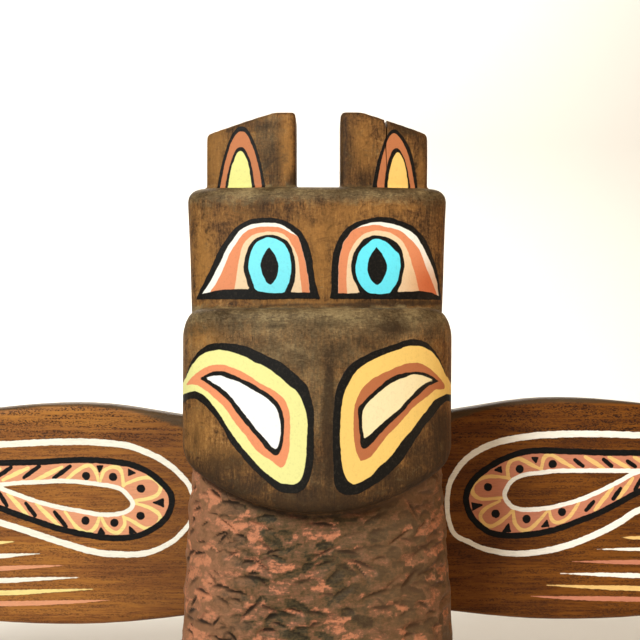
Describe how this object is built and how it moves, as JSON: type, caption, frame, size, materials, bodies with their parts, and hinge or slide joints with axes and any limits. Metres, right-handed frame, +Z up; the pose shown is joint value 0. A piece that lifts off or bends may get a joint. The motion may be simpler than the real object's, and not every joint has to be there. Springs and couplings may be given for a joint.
{
  "type": "totem pole",
  "caption": "Head and breast of a carved, painted wooden totem pole with upright ears, a blunt muzzle and flat wing boards let into its back; stands on its flat-cut foot.",
  "frame": {"origin": "centre of the whole object's box on the plane that it stands on, z = 0 at the flat cut under the breast", "axes": "+Z up, the face looks along -Y, the wings reach along +X and -X, +Y is the flat back"},
  "size_m": [0.556, 0.116, 0.2762],
  "materials": {
    "pole_wood": "stained and waxed carved wood with matt brush-painted ornament",
    "wing_wood": "oiled open-pored board with matt brush-painted ornament"
  },
  "bodies": {
    "root": {"pole": "pole_wood", "wing_left": "wing_wood", "wing_right": "wing_wood"}
  },
  "joints": []
}
